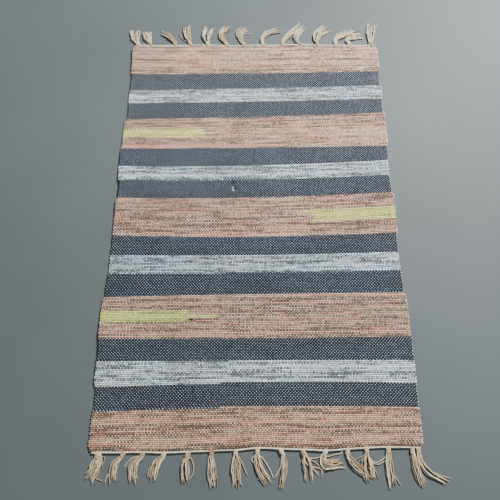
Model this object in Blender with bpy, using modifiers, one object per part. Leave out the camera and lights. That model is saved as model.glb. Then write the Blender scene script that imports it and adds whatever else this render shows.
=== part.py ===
"""A flat-woven cotton rug with a heading cord and knotted tassels along each end.

Lengths are in metres. The rug lies on the plane z = 0 with the middle of its cloth at the
origin, its selvedges along Y and its two ends along X. A tassel's sizes are given in its end's
own directions: x along the end, out away from the cloth, z up.
"""

import math
from collections import namedtuple

import bmesh
import bpy

# The woven cloth
HALF_WIDTH = 0.3000  # distance from the middle line at which a stripe's ends are given
THICKNESS = 0.0045
RIM_ROUND = 0.0013
RIM_SEGMENTS = 2
CLOTH_COLUMNS = 10
BAND_STEP = 0.004  # how far along the selvedge the width changes from band to band
THINNEST = 0.84  # the cloth's thinnest place, as a share of THICKNESS
CORNER_PULL = 0.004  # how far the end tassels draw each corner in

# The heading cord along each end
PARTING = 0.0003
CORD_DEPTH = 0.0036
CORD_INSET = 0.0015  # the cord ends this far inside the selvedge

# The tassels
KNOT_LENGTH = 0.0085
KNOT_BELLY = 0.0040  # where the knot is widest
KNOT_WIDTH = 0.0098
KNOT_HEIGHT = 0.0062
KNOT_ROUNDING = 0.45
KNOT_LEAN = math.radians(24)  # the most that a knot turns towards its tassel
COLUMN = 0.0012  # width of one cell on a knot's front
CELL_COLUMNS = 7
CELL_LEVELS = (0.0, 0.0015, 0.0019, 0.0034)  # lower strands, parting, upper strands
STRAND_CELLS = {(0, 0), (2, 0), (4, 0), (6, 0), (1, 2), (3, 2), (5, 2)}  # (column, level)
STRAND = 0.0015
SPREAD_BY = 0.36  # share of the length by which a tassel has its full spread
DROP_FROM = 0.40  # share of the length where the upper strands start down to the floor
DROP_TO = 0.80
TIP_VARIATION = 0.07

Line = namedtuple("Line", "left middle right")
Band = namedtuple("Band", "left right")
Tassel = namedtuple("Tassel", "x turn_x turn_out tip_x tip_out spread")

# The far end, the lines between the stripes and the near end: y at the left, in the middle and
# at the right. Each line is a slight curve through its three places.
LINES = (
    Line(0.4610, 0.4625, 0.4615),
    Line(0.3760, 0.3780, 0.3845),
    Line(0.3285, 0.3345, 0.3425),
    Line(0.2920, 0.2970, 0.3040),
    Line(0.2480, 0.2545, 0.2655),
    Line(0.1695, 0.1710, 0.1770),
    Line(0.1240, 0.1260, 0.1405),
    Line(0.0880, 0.0895, 0.1025),
    Line(0.0455, 0.0470, 0.0600),
    Line(-0.0425, -0.0455, -0.0355),
    Line(-0.0865, -0.0865, -0.0785),
    Line(-0.1275, -0.1270, -0.1225),
    Line(-0.1765, -0.1700, -0.1670),
    Line(-0.2615, -0.2600, -0.2565),
    Line(-0.3040, -0.3020, -0.3010),
    Line(-0.3495, -0.3425, -0.3445),
    Line(-0.3930, -0.3865, -0.3880),
    Line(-0.4655, -0.4600, -0.4560),
)

# Each stripe from the far end to the near one: the selvedges' distances from the middle line.
BANDS = (
    Band(0.2990, 0.3000),
    Band(0.2960, 0.2970),
    Band(0.2975, 0.2995),
    Band(0.2965, 0.2967),
    Band(0.3015, 0.3000),
    Band(0.3035, 0.2980),
    Band(0.3030, 0.2950),
    Band(0.2985, 0.2967),
    Band(0.3020, 0.3005),
    Band(0.3020, 0.2970),
    Band(0.3025, 0.2970),
    Band(0.3045, 0.2980),
    Band(0.3085, 0.3025),
    Band(0.3060, 0.3040),
    Band(0.3075, 0.3045),
    Band(0.3035, 0.3030),
    Band(0.3060, 0.3035),
)

# Each tassel from left to right: its place along the end, then the point that its curve bends
# towards and its tip, both from the root, and the width that its strands take up.
FAR_TASSELS = (
    Tassel(-0.287, -0.012, 0.024, -0.011, 0.044, 0.0200),
    Tassel(-0.257, -0.009, 0.024, -0.013, 0.041, 0.0180),
    Tassel(-0.197, -0.004, 0.017, -0.034, 0.040, 0.0130),
    Tassel(-0.158, -0.010, 0.026, -0.014, 0.058, 0.0160),
    Tassel(-0.112, -0.015, 0.026, -0.003, 0.058, 0.0190),
    Tassel(-0.069, -0.026, 0.035, 0.002, 0.056, 0.0150),
    Tassel(-0.027, -0.022, 0.041, 0.006, 0.051, 0.0150),
    Tassel(0.020, -0.006, 0.036, 0.043, 0.048, 0.0130),
    Tassel(0.066, 0.004, 0.027, 0.040, 0.063, 0.0140),
    Tassel(0.109, -0.012, 0.025, 0.010, 0.051, 0.0130),
    Tassel(0.155, -0.010, 0.029, 0.026, 0.054, 0.0190),
    Tassel(0.198, 0.002, 0.036, 0.063, 0.049, 0.0130),
    Tassel(0.237, -0.005, 0.027, 0.029, 0.027, 0.0125),
    Tassel(0.286, 0.001, 0.036, 0.008, 0.066, 0.0180),
)
NEAR_TASSELS = (
    Tassel(-0.289, 0.001, 0.018, -0.009, 0.042, 0.0190),
    Tassel(-0.241, -0.020, 0.016, -0.015, 0.046, 0.0160),
    Tassel(-0.206, -0.022, 0.015, -0.015, 0.047, 0.0160),
    Tassel(-0.167, -0.018, 0.017, -0.020, 0.045, 0.0170),
    Tassel(-0.124, -0.008, 0.024, -0.002, 0.049, 0.0160),
    Tassel(-0.082, 0.001, 0.029, 0.005, 0.056, 0.0170),
    Tassel(-0.038, 0.000, 0.028, 0.002, 0.057, 0.0170),
    Tassel(0.002, -0.004, 0.027, 0.020, 0.054, 0.0160),
    Tassel(0.044, 0.010, 0.025, -0.001, 0.061, 0.0130),
    Tassel(0.083, 0.012, 0.023, 0.014, 0.052, 0.0180),
    Tassel(0.125, -0.014, 0.031, 0.027, 0.029, 0.0140),
    Tassel(0.164, 0.006, 0.027, 0.023, 0.045, 0.0125),
    Tassel(0.200, -0.004, 0.027, 0.008, 0.054, 0.0150),
    Tassel(0.239, -0.001, 0.031, 0.004, 0.067, 0.0150),
    Tassel(0.277, -0.001, 0.031, 0.008, 0.065, 0.0130),
    Tassel(0.292, 0.002, 0.039, 0.041, 0.059, 0.0135),
)


def smooth(share):
    """Ease from 0 to 1, held flat outside that range."""
    share = min(max(share, 0.0), 1.0)
    return share * share * (3 - 2 * share)


def line_y(line, x):
    """Y of a line across the cloth at x."""
    across = x / HALF_WIDTH
    tilt = (line.right - line.left) / 2
    bow = (line.right + line.left) / 2 - line.middle
    return line.middle + tilt * across + bow * across * across


def end_line(x, side):
    """Y of the cloth's end at x: side is 1 at the far end and -1 at the near one."""
    return line_y(LINES[0] if side > 0 else LINES[-1], x)


def selvedge_rows():
    """(stripe, share of its length from its near line, left, right) from the near end to the
    far one."""
    rows = []
    for number in reversed(range(len(BANDS))):
        band = BANDS[number]
        turn = BAND_STEP / 2 / (LINES[number].middle - LINES[number + 1].middle)
        rows += [[number, share, band.left, band.right] for share in (turn, 0.5, 1 - turn)]
    for row, share in ((rows[0], 0.0), (rows[-1], 1.0)):
        row[1] = share
        row[2] -= CORNER_PULL
        row[3] -= CORNER_PULL
    return rows


def fullness(x, y):
    """The cloth's thickness at a place as a share of THICKNESS, from low crossing swells."""
    swell = math.sin(11 * x + 7 * y) + math.sin(17 * x - 23 * y + 1.3) + math.sin(31 * y + 0.6)
    return 1 - (1 - THINNEST) * (0.5 + swell / 6)


def fabric(name, colour, roughness):
    material = bpy.data.materials.new(name)
    material.use_nodes = True
    shader = material.node_tree.nodes["Principled BSDF"]
    shader.inputs["Base Color"].default_value = (*colour, 1.0)
    shader.inputs["Roughness"].default_value = roughness
    shader.inputs["Metallic"].default_value = 0.0
    return material


def new_object(name, bm, material, collection):
    mesh = bpy.data.meshes.new(name)
    bm.to_mesh(mesh)
    bm.free()
    mesh.materials.append(material)
    obj = bpy.data.objects.new(name, mesh)
    collection.objects.link(obj)
    return obj


def make_cloth(collection, material):
    """The woven cloth: a flat underside, a gently uneven top and selvedges that step in and
    out from stripe to stripe."""
    rows = selvedge_rows()
    bm = bmesh.new()
    bmesh.ops.create_grid(bm, x_segments=CLOTH_COLUMNS, y_segments=len(rows) - 1, size=0.5)
    for vert in bm.verts:
        across = vert.co.x * 2
        number, share, left, right = rows[round((vert.co.y + 0.5) * (len(rows) - 1))]
        vert.co.x = across * (right if across > 0 else left)
        far, near = line_y(LINES[number], vert.co.x), line_y(LINES[number + 1], vert.co.x)
        vert.co.y = near + share * (far - near)
    cloth = new_object("cloth", bm, material, collection)

    group = cloth.vertex_groups.new(name="fullness")
    for vert in cloth.data.vertices:
        group.add([vert.index], fullness(vert.co.x, vert.co.y), "REPLACE")
    solidify = cloth.modifiers.new("Thickness", "SOLIDIFY")
    solidify.thickness = THICKNESS
    solidify.offset = 1
    solidify.vertex_group = group.name
    rim = cloth.modifiers.new("Rim", "BEVEL")
    rim.width = RIM_ROUND
    rim.segments = RIM_SEGMENTS
    rim.limit_method = "ANGLE"
    rim.angle_limit = math.radians(50)
    return cloth


class Path:
    """A tassel's middle line on the floor, from the front of its knot to its tip."""

    def __init__(self, tassel):
        lean = math.atan2(tassel.turn_x, tassel.turn_out)
        self.lean = min(max(lean, -KNOT_LEAN), KNOT_LEAN)
        self.root = tassel.x
        self.start = self.knot_point(KNOT_LENGTH)
        self.turn = (tassel.x + tassel.turn_x, tassel.turn_out)
        self.tip = (tassel.x + tassel.tip_x, tassel.tip_out)

    def knot_point(self, distance):
        return (self.root + distance * math.sin(self.lean), distance * math.cos(self.lean))

    def point(self, share):
        """The middle line's place at a share of its length, and the unit normal there."""
        rest = 1 - share
        place, heading = [], []
        for start, turn, tip in zip(self.start, self.turn, self.tip):
            place.append(rest * rest * start + 2 * rest * share * turn + share * share * tip)
            heading.append(rest * (turn - start) + share * (tip - turn))
        length = math.hypot(*heading)
        return place, (heading[1] / length, -heading[0] / length)

    def steps(self):
        """More steps where the tassel turns more."""
        first = math.atan2(self.turn[0] - self.start[0], self.turn[1] - self.start[1])
        last = math.atan2(self.tip[0] - self.turn[0], self.tip[1] - self.turn[1])
        return 3 + round(abs(last - first) / math.radians(45))


def cord_lines(tassels):
    """X of each line of cells along the cord: the knots' cells, and the cord's two ends."""
    half = COLUMN * CELL_COLUMNS / 2
    first, last = BANDS[0], BANDS[-1]
    edge = last if tassels is NEAR_TASSELS else first
    lines = [CORD_INSET + CORNER_PULL - edge.left]
    for tassel in tassels:
        lines += [tassel.x - half + COLUMN * column for column in range(CELL_COLUMNS + 1)]
    return lines + [edge.right - CORNER_PULL - CORD_INSET]


def grow_cord(bm, tassels):
    """The heading cord, and for each tassel the cells of its front that the knot grows from."""
    across = bm.verts.layers.float.new("across")
    up = bm.verts.layers.float.new("up")
    column = bm.faces.layers.int.new("column")
    level = bm.faces.layers.int.new("level")
    lines = cord_lines(tassels)
    columns, levels = len(lines) - 1, len(CELL_LEVELS) - 1
    bmesh.ops.create_grid(bm, x_segments=columns, y_segments=levels, size=0.5)
    cells = [[] for _ in tassels]
    for face in bm.faces:
        middle = face.calc_center_median()
        place = math.floor((middle.x + 0.5) * columns)
        face[level] = math.floor((middle.y + 0.5) * levels)
        tassel, face[column] = divmod(place - 1, CELL_COLUMNS + 1)
        if 0 <= tassel < len(tassels) and face[column] < CELL_COLUMNS:
            cells[tassel].append(face)
    for vert in bm.verts:
        line = round((vert.co.x + 0.5) * columns)
        height = CELL_LEVELS[round((vert.co.y + 0.5) * levels)]
        vert[across] = 2 * ((line - 1) % (CELL_COLUMNS + 1)) / CELL_COLUMNS - 1
        vert[up] = height / CELL_LEVELS[-1]
        vert.co = (lines[line], 0.0, height)

    grown = bmesh.ops.extrude_face_region(bm, geom=bm.faces[:])["geom"]
    back = {item for item in grown if isinstance(item, bmesh.types.BMVert)}
    for vert in back:
        vert.co.y = -CORD_DEPTH
    inner = []
    for edge in bm.edges:
        first, second = edge.verts
        if back.issuperset(edge.verts) and first[up] == second[up] and 0 < first[up] < 1:
            inner.append(edge)
    bmesh.ops.dissolve_edges(bm, edges=inner, use_verts=True)
    return cells


def grow_knot(bm, cells, path):
    """Draw a tassel's cells out into its knot: a round belly, then the front with its cells."""
    across = bm.verts.layers.float["across"]
    up = bm.verts.layers.float["up"]
    side = (math.cos(path.lean), -math.sin(path.lean))
    front = COLUMN * CELL_COLUMNS
    stages = (
        (KNOT_BELLY, KNOT_WIDTH, KNOT_HEIGHT, KNOT_ROUNDING),
        (KNOT_LENGTH, front, CELL_LEVELS[-1], 0.0),
    )
    for distance, width, height, rounding in stages:
        grown = bmesh.ops.extrude_face_region(bm, geom=cells)["geom"]
        bmesh.ops.delete(bm, geom=cells, context="FACES")
        cells = [item for item in grown if isinstance(item, bmesh.types.BMFace)]
        x, out = path.knot_point(distance)
        for vert in {vert for cell in cells for vert in cell.verts}:
            from_middle = 2 * vert[up] - 1
            offset = vert[across] * width / 2 * math.sqrt(1 - rounding * from_middle ** 2)
            rise = from_middle * height / 2 * math.sqrt(1 - rounding * vert[across] ** 2)
            vert.co = (x + offset * side[0], out + offset * side[1], height / 2 + rise)
    return cells


def grow_strand(bm, cell, path, spread, number):
    """One strand from its cell to its tip. Those of the upper row come down to the floor
    between the others once the tassel has spread."""
    across = bm.verts.layers.float["across"]
    up = bm.verts.layers.float["up"]
    middle = sum(vert[across] for vert in cell.verts) / len(cell.verts)
    height = sum(vert[up] for vert in cell.verts) / len(cell.verts)
    place = cell[bm.faces.layers.int["column"]] - (CELL_COLUMNS - 1) / 2
    lift = CELL_LEVELS[2] if cell[bm.faces.layers.int["level"]] == 2 else 0.0
    full_pitch = (spread - STRAND) / (CELL_COLUMNS - 1)
    reach = 1 - TIP_VARIATION * (0.5 + 0.5 * math.sin(2.4 * number))
    steps = path.steps()
    for step in range(1, steps + 1):
        share = reach * step / steps
        (x, out), side = path.point(share)
        pitch = COLUMN + (full_pitch - COLUMN) * smooth(share / SPREAD_BY)
        base = lift * (1 - smooth((share - DROP_FROM) / (DROP_TO - DROP_FROM)))
        cell = bmesh.ops.extrude_discrete_faces(bm, faces=[cell])["faces"][0]
        for vert in cell.verts:
            offset = place * pitch + math.copysign(STRAND / 2, vert[across] - middle)
            top = STRAND if vert[up] > height else 0.0
            vert.co = (x + offset * side[0], out + offset * side[1], base + top)


def make_fringe(name, tassels, side, collection, material):
    """One end's heading cord with its tassels, all one piece."""
    bm = bmesh.new()
    cord_cells = grow_cord(bm, tassels)
    column, level = bm.faces.layers.int["column"], bm.faces.layers.int["level"]
    for tassel, cells in zip(tassels, cord_cells):
        path = Path(tassel)
        cells = grow_knot(bm, cells, path)
        strands = [cell for cell in cells if (cell[column], cell[level]) in STRAND_CELLS]
        for number, cell in enumerate(strands):
            grow_strand(bm, cell, path, tassel.spread, number)
    bmesh.ops.recalc_face_normals(bm, faces=bm.faces[:])
    for vert in bm.verts:
        out = PARTING + CORD_DEPTH + vert.co.y
        vert.co.y = end_line(vert.co.x, side) + side * out
    if side < 0:
        bmesh.ops.reverse_faces(bm, faces=bm.faces[:])
    return new_object(name, bm, material, collection)


def main():
    for obj in list(bpy.data.objects):
        bpy.data.objects.remove(obj, do_unlink=True)
    collection = bpy.data.collections.new("woven_rug")
    bpy.context.scene.collection.children.link(collection)
    make_cloth(collection, fabric("woven_cotton", (0.42, 0.27, 0.21), 0.95))
    cream = fabric("cream_cotton", (0.66, 0.56, 0.44), 0.92)
    make_fringe("fringe_far", FAR_TASSELS, 1, collection, cream)
    make_fringe("fringe_near", NEAR_TASSELS, -1, collection, cream)


main()
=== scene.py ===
"""Looks of a flat-woven cotton rug with knotted tassels, laid on a plain grey floor.

Lengths are in metres unless a name says otherwise. The cloth is laid out in warp ends across
(x) and picks along (y): a pick is one weft yarn from selvedge to selvedge.
"""

import math
from collections import namedtuple

import bpy
import numpy as np
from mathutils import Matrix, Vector


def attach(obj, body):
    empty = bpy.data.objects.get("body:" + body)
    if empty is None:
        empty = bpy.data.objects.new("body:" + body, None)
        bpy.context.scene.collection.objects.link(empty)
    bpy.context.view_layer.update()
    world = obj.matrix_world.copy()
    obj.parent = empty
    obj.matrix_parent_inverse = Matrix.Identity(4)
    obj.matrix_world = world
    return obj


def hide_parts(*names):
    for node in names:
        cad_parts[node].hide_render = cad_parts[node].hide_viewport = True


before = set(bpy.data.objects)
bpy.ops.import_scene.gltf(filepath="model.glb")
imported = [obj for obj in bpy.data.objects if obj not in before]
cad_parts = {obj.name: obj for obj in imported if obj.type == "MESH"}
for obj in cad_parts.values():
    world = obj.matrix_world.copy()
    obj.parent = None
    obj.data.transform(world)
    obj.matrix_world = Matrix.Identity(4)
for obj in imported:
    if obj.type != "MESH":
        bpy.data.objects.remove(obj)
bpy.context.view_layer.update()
SEED = 7

# Camera, as worked out from the photograph's perspective
CAMERA_PLACE = (-0.012, -0.443, 0.981)
CAMERA_TILT = math.radians(90 - 69.373)
FOCAL_PIXELS = 501.0
IMAGE_PIXELS = 500.0
SENSOR_MM = 36.0

# The woven cloth
HALF_WIDTH = 0.3000  # distance from the middle line at which a stripe's ends are given
THICKNESS = 0.0045
THINNEST = 0.84  # of the thickness, where the cloth is thinnest
SWELLS = ((11, 7, 0.0), (17, -23, 1.3), (0, 31, 0.6))  # radians a metre along x and y, start
CORNER_PULL = 0.004
CORNER_PICKS = 4
EDGE_SWAY = 0.0007  # how far a selvedge strays from its line
EDGE_PICKS = 5.0  # and over how many picks
ENDS = 199  # warp ends across the cloth
PICK = {"salmon": 0.0035, "charcoal": 0.0031, "white": 0.0035}  # distance from pick to pick
WEFT_RISE = 0.00030  # how far a crossing stands above or below the cloth's middle surface
RISE_VARIES = (0.75, 1.1)
DRIFT = 0.0005  # how far the warp ends stray from their lines
DRIFT_ENDS = 9.0  # over how many ends
DRIFT_TURNS = 19  # and how they wave, in radians a metre
RIM = 0.0017  # radius of the selvedges
RIM_ANGLES = (50, 0, -50)  # degrees
END_LOW, END_HIGH = 0.25, 0.60  # of the thickness, where the cloth's ends are closed
UNDER_COLUMNS = 7
TOP_SHARE = 0.74  # of a texture's width, for the cloth's upper side
CAP_SHARE = 0.006  # of its height, for each of the cloth's ends

# Weft loops where a yarn turns back at the selvedge
LOOP_RADIUS = 0.0012
LOOP_REACH = 0.0012  # how far a loop stands out of the selvedge
LOOP_DEPTH = 0.0010  # and how deep it is inside
LOOP_INSET = 0.0022
LOOP_WIDTH = 0.55  # half its width, in picks
LOOP_LEVEL = 0.55  # its height, in thicknesses of the cloth
LOOP_TILT = 0.0003
LOOP_BLUNT = 0.6  # power of its curve, blunter below 1
LOOP_TALL = 1.15  # height of its yarn, in widths
REACH_VARIES = (0.55, 1.1)
RADIUS_VARIES = (0.85, 1.1)
LOOP_START, LOOP_SPAN, LOOP_PICKS = 0.1, 0.8, 0.42  # part of a crossing that colours it
LOOP_STEPS = 8
LOOP_SIDES = 8

# Heading cord and tassels, at the sizes of their solids
PARTING = 0.0003
CORD_DEPTH = 0.0036
CORD_INSET = 0.0015
KNOT_LENGTH = 0.0085
KNOT_WIDTH = 0.0098
KNOT_HEIGHT = 0.0062
KNOT_LEAN = math.radians(24)
NECK = 0.0030  # half the width of the yarns inside a knot

# Cotton yarn of the fringe: two plies twisted together
PLY_RADIUS = 0.00050
PLY_OFFSET = 0.00046
PLY_PITCH = 0.0058
PLY_SIDES = 5
YARN_STEP = 0.0010
YARN_RADIUS = PLY_RADIUS + PLY_OFFSET
YARN_ROOM = 0.00125  # a tassel's width for each of its yarns
LAYER_PAINTED_SHADES = (0.42, 0.84, 1.12)  # painted shade: yarns deeper in a tassel are darkened as if shaded by those above, the top ones lightened
FAR_FULLNESS = 1.15  # the far tassels are fuller than the near ones
FAR_PAINTED_LIGHT = 1.27  # and painted lighter, standing in for the stronger light at the far end
BRIGHTEST = 0.97
LAYER_RISE = 0.0013
ARCH = 0.0016  # how far a tassel's middle stands off the floor
SETTLE = 0.55  # how much lower the yarns lie at their tips
TIP_SHARES = (0.83, 1.03)  # how much of a tassel's length its yarns have
WIDTH_SHARES = (0.90, 1.05)
TASSEL_POINTS = 7
OUT_OF_KNOT = 0.16  # share of a tassel's length at the first of them
FULL_WIDTH = 0.45  # and where it has spread
MOUTH = 1.2  # width of the yarns as they leave the knot, in necks
STRAY_START = 0.7  # share of the knot's length at which a stray yarn leaves it
STRAY_RISE = (0.0030, 0.0032)  # where a stray yarn leaves the knot, and halfway to its points
KNOT_TURNS = 5
KNOT_ENDS = (-0.0012, 0.0073)  # how far out the first and the last turn are
KNOT_PLY = 0.00066  # plies of the yarns that wrap a knot
KNOT_SLANT = 0.0024
KNOT_BULGE = 0.18
KNOT_VARIES = (0.92, 1.08)
KNOT_OVERLAP = 1.04
KNOT_TINT_VARIES = (0.9, 1.08)
KNOT_POINTS = 15
SLANT_VARIES = (0.7, 1.1)
TINT_VARIES = (0.88, 1.06)
SLACK = 0.0004  # how far a yarn may lie above its place
THIN_FROM, TIP_SIZE = 0.8, 0.8  # where along a yarn it starts to thin, and its size at the tip
FRAYS = 3
FRAY_SPREAD = (0.5, 0.5, 0.2)
FRAY_REACH = (0.0018, 0.0040)
FRAY_RADII = (0.00034, 0.00025, 0.00008)
CRIMP_STEP = 0.0015
CRIMP = 0.00042
CRIMP_LENGTH = 0.0040
SWAY = 0.0010
SWAY_LENGTH = 0.014
STRAIGHT = 0.010  # length over which a yarn starts to sway
SPLAY = {"far": 0.35, "near": 0.05}  # how much further apart the yarns' tips are
STRAY = 0.13  # how far a yarn strays from its place, in half widths of its tassel
CORD_PLY = 0.00090
CORD_PITCH = 0.0085
CORD_POINTS = 90
CORD_SWAY, CORD_SWAY_LENGTH = 0.0005, 0.025
CORD_RISE, CORD_RISE_LENGTH = 0.0004, 0.020
WAVE_FADE = 0.030  # how far out a tassel no longer follows its end's wave
FLOOR_GAP = 0.0002

# Lamps: name, place, size and power
LAMPS = (
    ("key", (1.35, 1.65, 1.90), 0.5, 172.0),
    ("fill", (-1.4, -0.8, 2.2), 2.0, 4.0),
)
FLOOR_SIZE = 8.0
SKY = (0.84, 0.87, 0.90)
SKY_STRENGTH = 0.27

# The weave's pattern, in warp ends across and picks along
WARP_HALF_WIDTH = 0.40
WARP_HALF_LENGTH = 0.46
WOBBLE = 0.16  # how far a crossing strays from its place
RUN_ACROSS = 0.050  # size of a warp end in the runs' noise
RUN_APART = 7.31  # and distance from pick to pick in it
RUN_CONTRAST, RUN_TONE = 2.6, -1.35
PICK_TONE = 0.60  # how far picks differ in tone
FLECK_TONE = 0.50  # and crossings of one pick
INLAY_RAGGED = 6.0
RUN_FADE = 3.0  # warp ends over which a placed run fades in
WARP_DULLEST, WARP_VARIES = 0.60, 0.80
RIM_PAINTED_SHADE = 0.34  # painted shade in the crease round a warp end that is on top
OPEN_LENGTH = 0.5  # share of the length, from the far end, in which the weave is more open
OPEN_COVER = 0.68
OPEN_RIM = 0.80
OPEN_SHADE = 0.74
BULK = 1.0  # how much less of the warp shows through the fuller runs of weft
CHARCOAL_COVER = 1.85  # and through the charcoal stripes

# Relief and fibres of the yarns in the weave
BUMP = 0.0008
PICK_BOW = -3.2
WARP_RISE = 0.5
FIBRE_RISE = 0.3
FIBRES_ACROSS, FIBRES_ALONG = 3.0, 9.0
FIBRE_DULLEST, FIBRE_VARIES = 0.71, 0.60
CLOUD_SCALE = 0.03
SMUDGE_SCALE, COTTON_SCALE = 140.0, 2600.0  # of the fringe's yarns
COTTON_BUMP = 0.00025

# Eased values: where the value starts and ends, and what it becomes at each
WARP_EDGE = (1.25, 0.70)  # a warp crossing, from outside in
WARP_ROUND_SHADE = (0.2, 1.2, 1.0, 0.66)  # its painted shade, from its middle out to its edges, where the round yarn turns from the light
WARP_LIT = (0.0, 0.55, 0.50, 1.0)  # its light over the darkest picks and over lighter ones
# painted shade round a warp end on top, over the darkest picks and over lighter ones
RIM_LIT = (0.0, 0.45, 0.85, RIM_PAINTED_SHADE)
CREASE_PAINTED_SHADE = (0.22, 0.50, 1.0, 0.52)  # painted shade of a pick, from its middle to the crease by the next pick
SPOT = (1.2, 0.6)  # a mark, from outside in
CLOUDS = (0.3, 0.7, 0.90, 1.06)
SMUDGES = (0.3, 0.7, 0.78, 1.12)  # along the cream yarns

Twist = namedtuple("Twist", "plies radius offset pitch step sides")
YARN_TWIST = Twist(2, PLY_RADIUS, PLY_OFFSET, PLY_PITCH, YARN_STEP, PLY_SIDES)
KNOT_TWIST = Twist(2, KNOT_PLY, KNOT_PLY, PLY_PITCH, YARN_STEP, PLY_SIDES)
CORD_TWIST = Twist(3, CORD_PLY, CORD_PLY, CORD_PITCH, 0.0016, 6)

# How the yarns of a tassel pass its knot: how far along it, how wide in necks, and how much
# higher each layer lies.
Pass = namedtuple("Pass", "along width rise")
KNOT_PASSES = (
    Pass(-0.0022, MOUTH, 0.0006),
    Pass(0.45 * KNOT_LENGTH, 1.0, 0.0011),
    Pass(0.95 * KNOT_LENGTH, 1.25, 0.0012),
)

Stop = namedtuple("Stop", "place colour")
Dye = namedtuple("Dye", "stops tints warp")
Patch = namedtuple("Patch", "layer scale low high")

# Patches of tint along the picks
PATCHES = (
    Patch(5.0, 0.6, 0.50, 0.60),
    Patch(9.0, 0.9, 0.52, 0.64),
    Patch(13.0, 0.5, 0.53, 0.60),
)

# What each weft is spun from: its colours from the darkest strands to the lightest, the tints
# that it takes on in patches, and how the warp looks over it.
DYES = {
    "salmon": Dye(
        (
            Stop(0.00, (0.110, 0.078, 0.062)),
            Stop(0.25, (0.210, 0.134, 0.100)),
            Stop(0.50, (0.450, 0.262, 0.180)),
            Stop(0.75, (0.640, 0.376, 0.262)),
            Stop(1.00, (0.800, 0.510, 0.365)),
        ),
        ((1.46, 1.10, 1.16), (0.74, 0.94, 0.84), (1.13, 1.03, 0.84)),
        (1.00, 0.75, 0.57),
    ),
    "charcoal": Dye(
        (
            Stop(0.00, (0.009, 0.011, 0.016)),
            Stop(0.50, (0.016, 0.021, 0.031)),
            Stop(1.00, (0.032, 0.040, 0.056)),
        ),
        ((0.80, 1.30, 1.15), (1.40, 0.95, 1.30), (1.00, 1.00, 1.00)),
        (0.420, 0.480, 0.560),
    ),
    "white": Dye(
        (
            Stop(0.00, (0.075, 0.088, 0.086)),
            Stop(0.25, (0.130, 0.150, 0.155)),
            Stop(0.50, (0.395, 0.445, 0.480)),
            Stop(0.75, (0.660, 0.720, 0.770)),
            Stop(1.00, (0.850, 0.900, 0.940)),
        ),
        ((1.55, 1.62, 1.66), (0.78, 0.96, 1.12), (0.98, 1.00, 0.84)),
        (0.86, 0.92, 0.95),
    ),
    "lime": Dye(
        (
            Stop(0.00, (0.330, 0.390, 0.080)),
            Stop(0.25, (0.640, 0.700, 0.130)),
            Stop(0.50, (0.900, 0.920, 0.190)),
            Stop(1.00, (0.960, 0.930, 0.340)),
        ),
        ((1.05, 1.02, 1.20), (0.74, 0.98, 0.90), (1.06, 1.02, 0.62)),
        (0.94, 0.90, 0.50),
    ),
}

# Undyed cotton of the fringe: what its yarns look like, each as likely as the others
CREAMS = (
    (0.86, 0.69, 0.44),
    (0.96, 0.82, 0.60),
    (0.68, 0.51, 0.30),
    (0.86, 0.65, 0.49),
    (0.54, 0.42, 0.29),
    (0.92, 0.75, 0.50),
)
CORD_CREAM = (1.00, 0.88, 0.70)
KNOT_TINTS = {("near", 5): (0.84, 0.50, 0.32), ("near", 6): (0.80, 0.60, 0.48)}
CORD_KNOTS = (("near", 5),)  # knots that go round the heading cord instead
CORD_KNOT_ENDS = (-0.0105, 0.0035)

# How much the cloth's colour is darkened and tinted along its length, from the far end (0) to the
# near one (1)
LENGTH_TONES = (
    Stop(0.00, (1.00, 1.00, 1.00)),
    Stop(0.20, (1.00, 1.00, 1.00)),
    Stop(0.38, (0.93, 0.95, 1.00)),
    Stop(0.50, (0.89, 0.88, 0.93)),
    Stop(0.62, (0.78, 0.81, 0.86)),
    Stop(0.73, (0.80, 0.86, 0.91)),
    Stop(0.85, (0.97, 0.97, 0.97)),
    Stop(1.00, (0.93, 0.92, 0.92)),
)
FLOOR_TONES = (
    Stop(0.30, (0.108, 0.128, 0.131)),
    Stop(0.70, (0.124, 0.145, 0.148)),
)

Line = namedtuple("Line", "left middle right")
Band = namedtuple("Band", "yarn left right")
Wave = namedtuple("Wave", "side x height reach")
Inlay = namedtuple("Inlay", "yarn side first_pick picks reach")
Look = namedtuple("Look", "tone patch")
Run = namedtuple("Run", "first_pick left right picks", defaults=(1,))
Mark = namedtuple("Mark", "x y half_width half_length colour")
Lift = namedtuple("Lift", "x y height reach")
Loose = namedtuple("Loose", "tassel points")
Tassel = namedtuple("Tassel", "x turn_x turn_out tip_x tip_out spread gap neck", defaults=(0, 1))

# The far end, the lines between the stripes and the near end: y at the left, in the middle and
# at the right. Each line is a slight curve through its three places.
LINES = (
    Line(0.4610, 0.4625, 0.4615),
    Line(0.3760, 0.3780, 0.3845),
    Line(0.3285, 0.3345, 0.3425),
    Line(0.2920, 0.2970, 0.3040),
    Line(0.2480, 0.2545, 0.2655),
    Line(0.1695, 0.1710, 0.1770),
    Line(0.1240, 0.1260, 0.1405),
    Line(0.0880, 0.0895, 0.1025),
    Line(0.0455, 0.0470, 0.0600),
    Line(-0.0425, -0.0455, -0.0355),
    Line(-0.0865, -0.0865, -0.0785),
    Line(-0.1275, -0.1270, -0.1225),
    Line(-0.1765, -0.1700, -0.1670),
    Line(-0.2615, -0.2600, -0.2565),
    Line(-0.3040, -0.3020, -0.3010),
    Line(-0.3495, -0.3425, -0.3445),
    Line(-0.3930, -0.3865, -0.3880),
    Line(-0.4655, -0.4600, -0.4560),
)

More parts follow.
